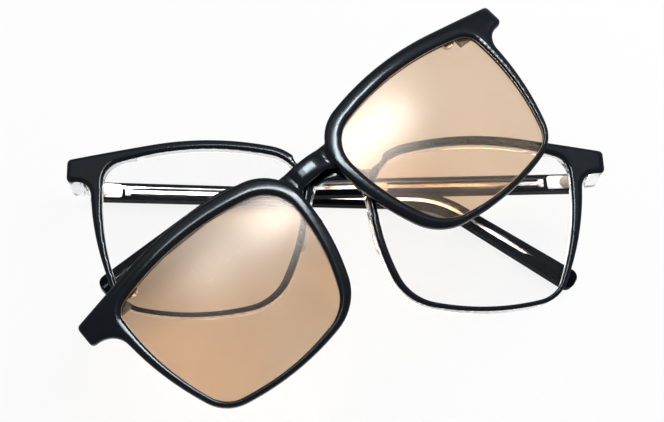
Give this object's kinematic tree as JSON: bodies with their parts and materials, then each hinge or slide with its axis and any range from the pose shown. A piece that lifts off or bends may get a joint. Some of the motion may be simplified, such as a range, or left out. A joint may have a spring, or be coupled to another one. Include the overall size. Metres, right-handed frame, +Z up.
{
  "type": "eyeglasses with magnetic sunglass clip",
  "caption": "Folded two-layer eyeglasses with a tinted magnetic clip-on resting askew on the front; the temples unfold and the clip lifts off.",
  "frame": {"origin": "on the table plane under the middle of the front, on the centreline of the left temple's flat outer face", "axes": "+X to the viewer's right along the front, +Y up the face of the glasses, +Z up from the table and out of the lenses"},
  "size_m": [0.1423, 0.1095, 0.0365],
  "materials": {
    "gloss_black": "polished acetate",
    "clip_black": "polished moulding",
    "crystal": "clear acetate",
    "clear_lens": "coated clear lens",
    "tinted_lens": "tan tint",
    "metal": "bright nickel",
    "magnet": "nickel plated magnet",
    "tab": "satin"
  },
  "bodies": {
    "front": {"front_black_face": "gloss_black", "front_crystal_back": "crystal", "lens_left": "clear_lens", "lens_right": "clear_lens", "nose_pad_left": "crystal", "nose_pad_right": "crystal", "front_magnet_left": "magnet", "front_magnet_right": "magnet", "hinge_front_leaf_left": "metal", "hinge_front_leaf_right": "metal", "hinge_screw_left": "metal", "hinge_screw_right": "metal"},
    "temple_left": {"temple_left_black": "gloss_black", "temple_left_crystal": "crystal", "temple_left_core": "metal", "hinge_temple_leaf_left": "metal"},
    "temple_right": {"temple_right_black": "gloss_black", "temple_right_crystal": "crystal", "temple_right_core": "metal", "hinge_temple_leaf_right": "metal"},
    "clip": {"clip_frame": "clip_black", "clip_lens_left": "tinted_lens", "clip_lens_right": "tinted_lens", "clip_magnet_left": "magnet", "clip_magnet_right": "magnet", "clip_tab_left": "tab", "clip_tab_right": "tab"}
  },
  "joints": [
    {"name": "temple_left_hinge", "type": "hinge", "parent": "front", "child": "temple_left", "pos_m": [-0.06371, 0, 0.0046], "axis": [0.0212, 0.9848, -0.1724], "range_deg": [0, 83]},
    {"name": "temple_right_hinge", "type": "hinge", "parent": "front", "child": "temple_right", "pos_m": [0.068, 0, 0.02077], "axis": [-0.0212, -0.9848, 0.1724], "range_deg": [0, 94]},
    {"name": "clip_lift", "type": "slide", "parent": "front", "child": "clip", "axis": [-0.1219, 0, 0.9925], "range_m": [0, 0.06]}
  ],
  "couplings": [
    {"joint": "temple_right_hinge", "follows": "temple_left_hinge", "ratio": 1.1325}
  ]
}
